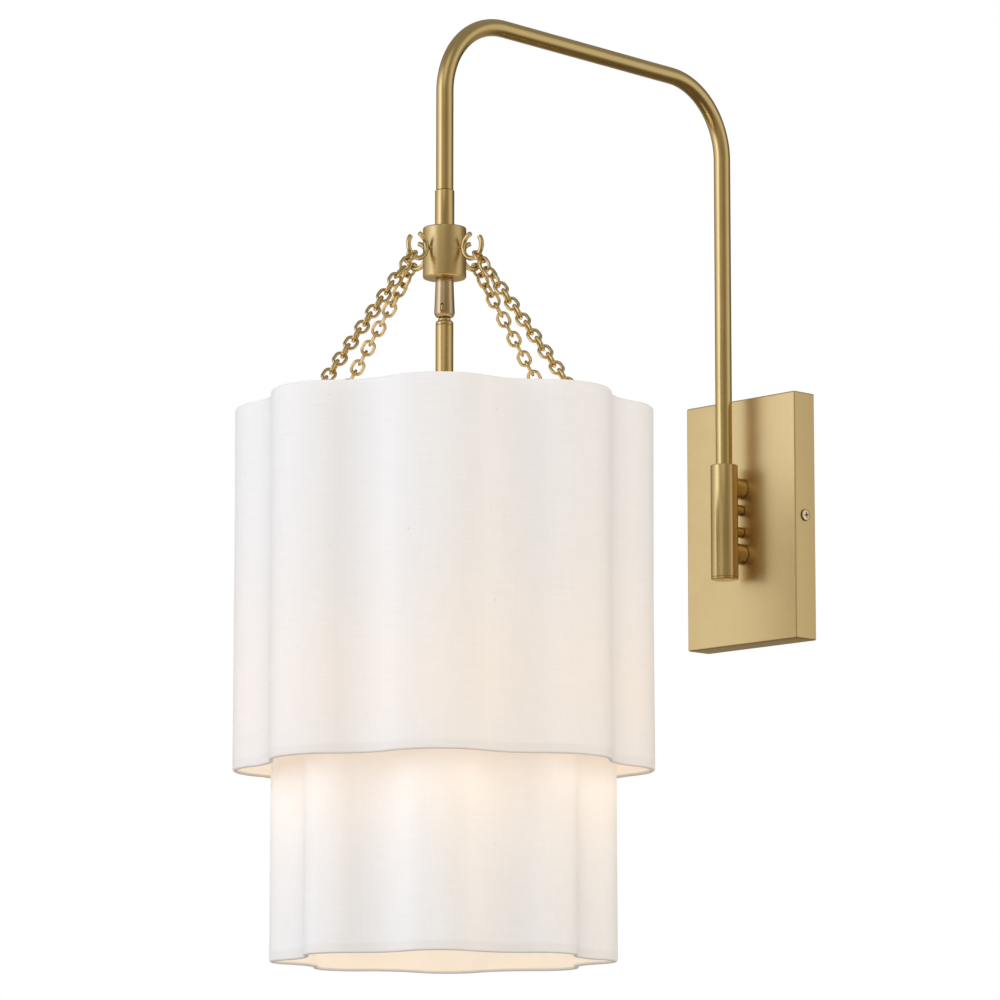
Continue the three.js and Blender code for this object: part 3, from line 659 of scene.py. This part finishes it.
def back_cover():
    """The folded box: an outer skin with eased edges, open at the wall, given its thickness."""
    mesh = bmesh.new()
    bmesh.ops.create_cube(mesh, size=1)
    size = BOX_HIGH - BOX_LOW
    middle = (BOX_HIGH + BOX_LOW) / 2
    bmesh.ops.scale(mesh, vec=size, verts=mesh.verts)
    bmesh.ops.translate(mesh, vec=middle, verts=mesh.verts)
    wall_face = max(mesh.faces, key=lambda f: f.calc_center_median().y)
    bmesh.ops.delete(mesh, geom=[wall_face], context="FACES")
    edges = [e for e in mesh.edges if len(e.link_faces) == 2]
    bmesh.ops.bevel(mesh, geom=edges, offset=1.5, segments=4, profile=0.55, affect="EDGES",
                    clamp_overlap=True)
    points = [v.co.copy() for v in mesh.verts]
    mesh.verts.index_update()
    faces = [tuple(v.index for v in f.verts) for f in mesh.faces]
    mesh.free()
    made = piece("back_cover_skin", [(points, faces)], PLATE_BRASS, WALL,
                 ["back_cover"])
    skin = made.modifiers.new("skin", "SOLIDIFY")
    skin.thickness, skin.offset = SHEET * MM, -1
    graph = bpy.context.evaluated_depsgraph_get()
    made.data = bpy.data.meshes.new_from_object(made.evaluated_get(graph))
    made.modifiers.clear()
    made.data.set_sharp_from_angle(angle=math.radians(50))  # the eased edges stay smooth


def cross_recess(arm, half, floor, top):
    """Two crossed bars that narrow a little towards the floor of a screw's recess."""
    bars = []
    for x, y in ((arm, half), (half, arm)):
        points, faces = block((-x, -y, floor), (x, y, top))
        shares = [1 if z > floor else 0.8 for _, _, z in points]
        bars.append(([(px * share, py * share, z) for (px, py, z), share in zip(points, shares)],
                     faces))
    return bars


SCREW = {"radius": 4.6, "height": 1.4, "shank": 1.7, "length": 6.5, "turn": math.radians(12)}


def side_screw(name, centre, outward):
    """A flat-topped cross-recessed screw. `centre` is where its head meets the sheet."""
    radius, height, shank, length = (SCREW[key] for key in ("radius", "height", "shank", "length"))
    profile = [(0, -length), (shank, -length), (shank, 0, 0.05), (radius, 0, 0.1),
               (radius, height * 0.6, 0.35), (radius - 0.9, height, 0.8), (0, height + 0.1)]
    part = turned(eased(profile, 0.3, 4), 48)
    upright = Vector((0, 0, 1)).rotation_difference(outward).to_matrix().to_4x4()
    stand = Matrix.Translation(centre) @ upright @ Matrix.Rotation(SCREW["turn"], 4, "Z")
    made = piece(f"{name}_head", [rotated(part, stand)], SCREW_BRASS, WALL,
                 [name])
    for bar in cross_recess(radius * 0.56, 0.6, height * 0.15, height * 2):
        boolean_cut(made, rotated(bar, stand))
    # Painted shade: what lies deeper than the head's rim takes a near-black brass, for the shaded inside of the
    # recess.
    made.data.materials.append(RECESS_SHADE_BRASS)
    for face in made.data.polygons:
        depth = height - (face.center / MM - centre).dot(outward)
        face.material_index = 1 if depth > 0.5 else 0


def wall_screws():
    screw_y = -11
    for side, sign in (("right", 1), ("left", -1)):
        centre = Vector(((BOX_HIGH.x + 0.05) * sign, screw_y, 0))
        side_screw(f"side_screw_{side}", centre, Vector((sign, 0, 0)))


def posts():
    barrel_overlap = 6  # the far ends stop this near the barrel's middle, hidden inside it
    for node in ("large_post_upper", "large_post_lower", "small_post_upper", "small_post_lower"):
        low, high = mm_box(node)
        radius, z = (high.x - low.x) / 2, (low.z + high.z) / 2
        # A little groove runs round each post where it meets the plate.
        length = high.y - (PIVOT[1] + barrel_overlap)
        profile = eased([(0, 0), (radius - 0.9, 0, 0.1), (radius - 0.9, 0.5, 0.1),
                         (radius, 0.6, 0.3), (radius, length), (0, length)], 0.35)
        part = rotated(turned(profile, 56), Matrix.Rotation(math.radians(90), 3, "X"))
        piece(f"{node}_turned", [moved(part, (0, BOX_LOW.y - 0.02, z))], OLD_BRASS, WALL,
              [node])


# ---------------------------------------------------------------- barrel and arm

def barrel():
    low, high = mm_box("pivot_barrel")
    bore, radius = 8.3, 10.5
    body = eased([(bore, high.z - 8), (bore, high.z), (radius, high.z, 0.7), (radius, low.z),
                  (bore, low.z)], 0.3)
    lathed("pivot_barrel", "turned", body[::-1], OLD_BRASS, WALL, PIVOT)
    cap_foot, cap_head = mm_box("barrel_end_cap")[0].z, low.z - 0.12
    cap = eased([(0, cap_foot), (radius, cap_foot, 0.8), (radius, cap_head, 0.25),
                 (bore + 0.1, cap_head)], 0.3)
    lathed("barrel_end_cap", "turned", cap, OLD_BRASS, WALL, PIVOT)
    bush_bore, bush_radius, bush_top, bush_depth = 6.45, 8.25, high.z - 0.05, 6
    bush = eased([(bush_bore, bush_top - bush_depth), (bush_bore, bush_top),
                  (bush_radius, bush_top), (bush_radius, bush_top - bush_depth)], 0.25)
    lathed("upper_bushing", "turned", bush[::-1], NYLON, WALL, PIVOT)


TUBE = {"radius": 6.35, "bend": 58, "top": 344, "rise": math.radians(1.6), "steps": 28}


def arm_tube():
    """The bent tube: up from the barrel, over with a slight climb, and down to its coupling."""
    bend, rise, steps = TUBE["bend"], TUBE["rise"], TUBE["steps"]
    foot = mm_box("arm_tube")[0].z
    drop = mm_box("arm_coupling")[1].z + 0.15
    y0, y1 = PIVOT[1], PENDANT[1]
    outer = Vector((0, y1 + bend, TUBE["top"] - bend))
    inner = Vector((0, y0 - bend, outer.z - (y0 - y1 - 2 * bend) * math.tan(rise)))

    def corner(middle, start, end):
        turns = (start + (end - start) * k / steps for k in range(steps + 1))
        return [middle + Vector((0, bend * math.cos(a), bend * math.sin(a))) for a in turns]

    path = [Vector((0, y0, z)) for z in (foot, 0, 60, 120, 180, 240)]
    path += corner(inner, 0, math.pi / 2 - rise)
    over = corner(outer, math.pi / 2 - rise, math.pi)
    path += [path[-1].lerp(over[0], k / 4) for k in (1, 2, 3)]
    path += over
    path += [Vector((0, y1, z)) for z in (250, drop + 0.4, drop)]
    radii = [TUBE["radius"]] * (len(path) - 1) + [TUBE["radius"] - 0.3]
    piece("arm_tube_bent", [swept(path, radii, 48)], ARM_BRASS, ARM, ["arm_tube"])


def pendant_hardware():
    low, high = mm_box("arm_coupling")
    profile = eased([(5.2, low.z), (7.1, low.z, 0.3), (7.1, high.z, 1.0), (6.5, high.z + 0.1, 0.2),
                     (6.2, high.z - 0.6)], 0.3)
    lathed("arm_coupling", "turned", profile, OLD_BRASS, ARM)

    low, high = mm_box("chain_hub")
    profile = eased([(5.2, low.z + 0.8), (6.4, low.z + 0.8), (7.0, low.z, 0.3), (15.9, low.z, 1.7),
                     (15.9, high.z, 1.3), (7.4, high.z, 0.3), (7.2, high.z - 0.7)], 0.4, 5)
    lathed("chain_hub", "turned", profile, HUB_BRASS, ARM, sides=96)

    low, high = mm_box("swivel_cup")
    # The cup is a closed wall round its hollow, so that the slot cuts a clean way in.
    profile = eased([(4.3, low.z, 0.4), (6.1, low.z, 1.2), (7.6, low.z + 2.6, 2.2),
                     (7.05, BALL_Z + 9.5, 6), (6.6, high.z - 0.6, 0.3), (6.2, high.z, 0.2),
                     (5.2, high.z), (5.2, BALL_Z + 7.5), (5.75, BALL_Z + 1.5, 1),
                     (5.6, BALL_Z - 1.5, 1), (4.3, low.z + 2.5, 0.3)], 0.4, 5, closed=True)
    cup = lathed("swivel_cup", "turned", profile, CUP_BRASS, ARM, closed=True)
    boolean_cut(cup, pin_slot(1.15, BALL_Z - 2.4, BALL_Z + 4.0, 3, 10))


PIN_TURN = math.radians(-58)  # which way the ball's pin points


def pin_slot(half_width, low, high, near, far):
    """A round-ended cutter that runs outwards from the pendant's axis, over the ball's pin."""
    rim = []
    steps = 8
    for middle, start in ((high - half_width, 0), (low + half_width, math.pi)):
        for k in range(steps + 1):
            a = start + math.pi * k / steps
            rim.append((half_width * math.cos(a), middle + half_width * math.sin(a)))
    count = len(rim)
    points = [(x, y, z) for x in (near, far) for y, z in rim]
    faces = [tuple(range(count))[::-1], tuple(range(count, 2 * count))]
    faces += [(k, (k + 1) % count, count + (k + 1) % count, count + k) for k in range(count)]
    return on_pendant((points, faces), PIN_TURN)


HOOK = {"wire": 1.8, "radius": 9.3, "height": 166.5, "gap": (40, 102), "distance": 28.2,
        "steps": 40}


def hook_point(a):
    """A place on a hook's ring, in the plane of its side."""
    return Vector((HOOK["distance"] + HOOK["radius"] * math.cos(a), 0,
                   HOOK["height"] + HOOK["radius"] * math.sin(a)))


def hooks():
    """Open rings of wire, each welded to the hub by its back and open at the top."""
    start, end = HOOK["gap"][1], HOOK["gap"][0] + 360
    for side, turn_degrees in SIDES.items():
        ring = [hook_point(math.radians(start + (end - start) * k / HOOK["steps"]))
                for k in range(HOOK["steps"] + 1)]
        # The wire is cut square, with its edges just broken.
        tips = [ring[0].lerp(ring[1], 0.08), ring[-1].lerp(ring[-2], 0.08)]
        path = [ring[0], tips[0], *ring[1:-1], tips[1], ring[-1]]
        wire = HOOK["wire"]
        parts = [swept(path, [wire - 0.2] + [wire] * (len(path) - 2) + [wire - 0.2], 20)]
        # The weld that joins the ring to the hub swells towards both.
        neck = [15.6, 15.9, 16.3, 16.9, 17.6, 18.1]
        parts.append(swept([(x, 0, HOOK["height"]) for x in neck],
                           [2.4, 2.0, 1.6, 1.5, 1.6, 1.8], 16))
        parts = [on_pendant(part, math.radians(turn_degrees)) for part in parts]
        piece(f"hook_{side}_wire", parts, BRIGHT_BRASS, ARM, [f"hook_{side}"])


# ---------------------------------------------------------------- stem, socket and bulb

def swivel_ball():
    """The ball, and the tall oval pin that keeps it from spinning in the cup."""
    radius, steps = 5.4, 20
    arc = [(radius * math.cos(a), BALL_Z + radius * math.sin(a))
           for a in (math.radians(-90 + 180 * k / steps) for k in range(steps + 1))]
    arc[0], arc[-1] = (0, arc[0][1]), (0, arc[-1][1])
    lift, stretch = 0.8, 2.7
    points, faces = swept([(x, 0, 0) for x in (2, 6.9, 7.1)], [0.85, 0.85, 0.6], 16)
    points = [Vector((x, y, BALL_Z + lift + z * stretch)) for x, y, z in points]
    piece("swivel_ball_turned", [turned(arc, 48, PENDANT), on_pendant((points, faces), PIN_TURN)],
          OLD_BRASS, SWIVEL, ["swivel_ball"])


def stem():
    low, high = mm_box("stem_tube")
    # Heights above the tube's top: a thin neck under the ball, a collar, a rounded shoulder.
    neck = [(0, 8.3), (2.9, 8.3), (3.1, 7.1), (3.1, 5.0), (4.6, 4.9, 0.2), (4.6, 3.6, 0.3),
            (5.6, 3.4, 0.6), (6.5, 2.3, 1.4), (6.5, 0.4, 0.15), (6.3, 0.3), (5.3, 0.2), (0, 0.2)]
    neck = eased([(r, high.z + rise, *ease) for r, rise, *ease in neck], 0.3, 4)
    lathed("stem_neck", "turned", neck[::-1], ARM_BRASS, STEM)
    tube = eased([(5.6, high.z), (6.5, high.z + 0.05, 0.25), (6.5, low.z)], 0.2)
    lathed("stem_tube", "drawn", tube[::-1], OLD_BRASS, STEM)


def socket():
    low, high = mm_box("socket_cap")
    cap = eased([(6.8, high.z), (8.4, high.z, 0.4), (8.6, high.z - 5, 1.5), (14, high.z - 8, 4),
                 (18.5, high.z - 13.5, 3), (18.5, low.z, 0.5), (17.3, low.z), (17.3, low.z + 3, 2),
                 (6.8, high.z - 7)], 0.5, 4, closed=True)
    lathed("socket_cap", "spun", cap[::-1], OLD_BRASS, STEM, closed=True)
    low, high = mm_box("socket_body")
    body = eased([(14.5, high.z - 4), (14.5, low.z, 0.5), (17, low.z, 0.8), (17, low.z + 8, 0.3),
                  (16.5, low.z + 8.4, 0.3), (16.5, low.z + 10, 0.3), (17, low.z + 10.4, 0.3),
                  (17, high.z - 4.5, 0.6), (15.4, high.z, 1.0), (3, high.z)], 0.4, 3)
    lathed("socket_body", "glazed", body, PORCELAIN, STEM)


def bulb():
    """The bulb's cap with its rolled thread, and the globe that narrows to it in one curve."""
    low, high = mm_box("bulb_base")
    thread_radius, thread_depth, pitch, steps = 12.75, 0.42, 3.6, 60
    base = [(12.2, low.z - 0.4), (13.0, low.z)]
    for k in range(1, steps):
        z = low.z + (high.z - 5 - low.z) * k / steps
        wave = math.sin(2 * math.pi * (z - low.z) / pitch)
        base.append((thread_radius + thread_depth * wave, z))
    base += [(12.4, high.z - 4.6), (10.5, high.z - 2.2), (4, high.z), (0, high.z)]
    lathed("bulb_base", "rolled", base, SHEET_METAL, STEM)

    low, high = mm_box("bulb_glass")
    globe, neck, sweep, globe_steps, neck_steps = 30, 12.2, 118, 24, 12
    centre = low.z + globe
    glass = [(0, low.z)]
    for k in range(1, globe_steps + 1):
        a = math.radians(-90 + sweep * k / globe_steps)
        glass.append((globe * math.cos(a), centre + globe * math.sin(a)))
    start, end = Vector(glass[-1]), Vector((neck, high.z - 8))
    lead_out, lead_in = start + Vector((-6.5, 12)), end + Vector((0, -13))
    for k in range(1, neck_steps + 1):
        t = k / neck_steps
        spot = (start * (1 - t) ** 3 + lead_out * 3 * t * (1 - t) ** 2
                + lead_in * 3 * t ** 2 * (1 - t) + end * t ** 3)
        glass.append((spot.x, spot.y))
    glass += [(neck, high.z - 4), (neck, high.z)]
    lathed("bulb_glass", "blown", glass, GLASS, STEM)


# ---------------------------------------------------------------- chains

LINKS = 17
LINK = {"wire": 1.2, "half_width": 4.0, "play": 0.3}
EYE = {"distance": 130, "radius": 4, "wire": 1.2}
STRUT = {"height": 43.8, "wire": 1.5, "along": (119.3, 128, 138, 148.4)}
HOOK_SEAT = math.radians(-55)  # where on its ring a hook carries the chain
CHAIN_TWIST, TWIST_LINKS = 45, 5  # degrees that a chain twists, over its first few links


def chain_line():
    """Where a chain starts, and its direction and length, in its side's radial plane."""
    top = hook_point(HOOK_SEAT)
    foot = Vector((EYE["distance"], 0, STRUT["height"]))
    return top, (foot - top).normalized(), (foot - top).length


def link_turn(i):
    """How far a link is turned about its chain: a quarter from the last, and the twist."""
    t = min(1, i / TWIST_LINKS)
    return math.radians(90 * (i % 2) + CHAIN_TWIST * t * t * (3 - 2 * t))


def ring_path(radius, stretch):
    """A ring in the XY plane, its two halves moved apart along X by the stretch."""
    count = 28
    path = []
    for k in range(count):
        a = 2 * math.pi * (k + 0.5) / count
        x = radius * math.cos(a)
        path.append((x + math.copysign(stretch, x), radius * math.sin(a), 0))
    return path


def chains():
    top, way, span = chain_line()
    lay = Vector((1, 0, 0)).rotation_difference(way)
    start = -(HOOK["wire"] + 2 * LINK["wire"] + LINK["play"])
    end = span - 2 * EYE["radius"] + EYE["wire"] + 2 * LINK["wire"] + LINK["play"]
    pitch = (end - start - 4 * LINK["wire"]) / LINKS
    stretch = pitch / 2 + LINK["wire"] - LINK["half_width"]
    for side, turn_degrees in SIDES.items():
        parts = []
        for i in range(LINKS):
            link = swept(ring_path(LINK["half_width"], stretch), LINK["wire"], 10, closed=True)
            link = rotated(link, Matrix.Rotation(link_turn(i), 3, "X"))
            link = moved(link, (start + 2 * LINK["wire"] + pitch * (i + 0.5), 0, 0))
            link = moved(rotated(link, lay), top)
            parts.append(on_pendant(link, math.radians(turn_degrees)))
        piece(f"chain_{side}_links", parts, BRIGHT_BRASS, f"chain_{side}",
              [f"chain_{side}"], sharp=80)


def struts():
    """A spider's arm on each side, with the standing eye that takes its chain."""
    top, way, span = chain_line()
    lay = Vector((1, 0, 0)).rotation_difference(way)
    for side, turn_degrees in SIDES.items():
        bar, radii = dome_ended([(x, 0, STRUT["height"]) for x in STRUT["along"]],
                                STRUT["wire"])
        eye = swept(ring_path(EYE["radius"], 0), EYE["wire"], 12, closed=True)
        eye = rotated(eye, Matrix.Rotation(link_turn(LINKS - 1) + math.pi / 2, 3, "X"))
        eye = moved(rotated(moved(eye, (span - EYE["radius"], 0, 0)), lay), top)
        parts = [on_pendant(part, math.radians(turn_degrees))
                 for part in (swept(bar, radii, 14), eye)]
        piece(f"strut_{side}_wire", parts, PAINTED_WIRE, SHADE, [f"strut_{side}"],
              sharp=80)


# ---------------------------------------------------------------- shade

TIERS = {
    "outer": {"crest": 152.4, "valley": 136, "fillet": 50},
    "inner": {"crest": 125, "valley": 108.5, "fillet": 45},
}
LOBES = 8
CLOTH = 1.6  # thickness of silk and lining together
ROLL = 1.9  # radius of the fabric rolled over the wire at each edge
SET_BACK = 0.25  # how far the cloth's face lies inside the CAD wall's
DRAWN_IN = 0.35  # how much further in it lies halfway up
RIPPLE = 0.45  # the most that slow unevenness moves it in or out


def outline(tier):
    """
    The scalloped line of a tier: places in the plane, outward directions and the distance run,
    from tangent arcs round the lobes and the valleys between them.
    """
    steps = 12
    crest, valley, fillet = tier["crest"], tier["valley"], tier["fillet"]
    half = math.pi / LOBES
    hollow = valley + fillet
    lobe = (crest ** 2 + hollow ** 2 - 2 * crest * hollow * math.cos(half) - fillet ** 2) \
        / (2 * (fillet + crest - hollow * math.cos(half)))
    centre = crest - lobe
    sweep = math.atan2(hollow * math.sin(half), hollow * math.cos(half) - centre)
    line = []
    for i in range(LOBES):
        at = 2 * half * i
        dip = at + half
        for k in range(2 * steps):
            a = at - sweep + 2 * sweep * k / (2 * steps)
            out = Vector((math.cos(a), math.sin(a), 0))
            line.append((Vector((math.cos(at), math.sin(at), 0)) * centre + out * lobe, out))
        start, end = at + sweep + math.pi, at + 2 * half - sweep + math.pi
        for k in range(steps):
            a = start + (end - start) * k / steps
            inward = Vector((math.cos(a), math.sin(a), 0))
            line.append((Vector((math.cos(dip), math.sin(dip), 0)) * hollow + inward * fillet,
                         -inward))
    run = [0.0]
    for (here, _), (there, _) in zip(line, line[1:] + line[:1]):
        run.append(run[-1] + (there - here).length)
    return line, run


def wall_section(bottom, top):
    """
    Section through a tier's wall, as (depth behind the outer face, height), counter to the
    clock: up the silk face, over the rolled top edge, down the lining and round the foot.
    """
    silk_rows, lining_rows, roll_rows = 26, 12, 8
    low, high = bottom + ROLL, top - ROLL
    section = [(0.0, low + (high - low) * k / silk_rows, "silk") for k in range(silk_rows + 1)]
    for k in range(1, roll_rows + 1):
        a = math.pi * k / roll_rows
        section.append((ROLL - ROLL * math.cos(a), high + ROLL * math.sin(a), "silk"))
    # The hem inside: how far behind the face, and how far from the roll's middle.
    hem = [(ROLL * 1.85, 1.2), (ROLL * 1.3, 3.0), (CLOTH + 0.25, HEM - 2), (CLOTH, HEM)]
    section += [(depth, high - reach, "lining") for depth, reach in hem]
    for k in range(1, lining_rows):
        share = k / lining_rows
        section.append((CLOTH, (high - HEM) * (1 - share) + (low + HEM) * share, "lining"))
    section += [(depth, low + reach, "lining") for depth, reach in reversed(hem)]
    for k in range(roll_rows):
        a = math.pi * k / roll_rows
        section.append((ROLL + ROLL * math.cos(a), low - ROLL * math.sin(a), "silk"))
    return section


def ripple(run, length, z):
    """Slow unevenness of stretched cloth, which repeats round the shade, in millimetres."""
    a = 2 * math.pi * run / length
    return RIPPLE * (math.sin(3 * a + z * 0.013) * 0.5 + math.sin(7 * a - z * 0.021 + 1.3) * 0.3
                     + math.sin(13 * a + z * 0.034 + 4.1) * 0.2)


def tier_cloth(name, tier):
    """A tier's wall of silk and lining: the section carried round the scalloped outline."""
    low, high = mm_box(f"{name}_shade_fabric")
    bottom, top = low.z, high.z
    line, run = outline(tier)
    section = wall_section(bottom, top)
    length = run[-1]
    points = []
    for (place, out), distance in zip(line, run):
        for depth, z, _ in section:
            middle = math.sin(math.pi * min(1, max(0, (z - bottom) / (top - bottom))))
            depth += SET_BACK + (ripple(distance, length, z) + DRAWN_IN) * middle
            points.append(place - out * depth + Vector((*PENDANT, z)))
    rows, columns = len(section), len(line)
    faces, corner_runs, corner_heights, slots = [], [], [], []
    heights = [0.0]
    for (d0, z0, _), (d1, z1, _) in zip(section, section[1:] + section[:1]):
        heights.append(heights[-1] + math.hypot(d1 - d0, z1 - z0))
    for i in range(columns):
        j = (i + 1) % columns
        for k in range(rows):
            m = (k + 1) % rows
            faces.append((i * rows + k, j * rows + k, j * rows + m, i * rows + m))
            corner_runs += [run[i], run[i + 1], run[i + 1], run[i]]
            corner_heights += [heights[k], heights[k], heights[k + 1], heights[k + 1]]
            slots.append(0 if section[k][2] == "silk" and section[m][2] == "silk" else 1)
    made = piece(f"{name}_tier_cloth", [(points, faces)], SILK[name], SHADE,
                 [f"{name}_shade_fabric", f"{name}_top_ring", f"{name}_bottom_ring"], sharp=80)
    mesh = made.data
    mesh.materials.append(LINING[name])
    mesh.polygons.foreach_set("material_index", slots)
    layer = mesh.uv_layers.new(name="cloth")
    values = []
    for r, h in zip(corner_runs, corner_heights):
        values += [r * MM, h * MM]
    layer.data.foreach_set("uv", values)


# ---------------------------------------------------------------- pieces and CAD finishes

set_stage()
back_cover()
wall_screws()
posts()
barrel()
arm_tube()
pendant_hardware()
hooks()
swivel_ball()
stem()
socket()
bulb()
chains()
struts()
for tier_name, tier_shape in TIERS.items():
    tier_cloth(tier_name, tier_shape)

FINISH_OF_SLOT = {
    "aged_brass": OLD_BRASS,
    "polished_brass": BRIGHT_BRASS,
    "zinc_steel": ZINC,
    "green_steel": GREEN,
    "nylon": NYLON,
    "porcelain": PORCELAIN,
    "bulb_cap": SHEET_METAL,
    "bulb_glass": GLASS,
    "shade_fabric": SILK["outer"],
    "shade_wire": PAINTED_WIRE,
}
for part in frame["record"]["subparts"]:
    node = frame["nodes"][part["node"]]
    for material_slot in node.material_slots:
        material_slot.material = FINISH_OF_SLOT[part["material_slot"]]
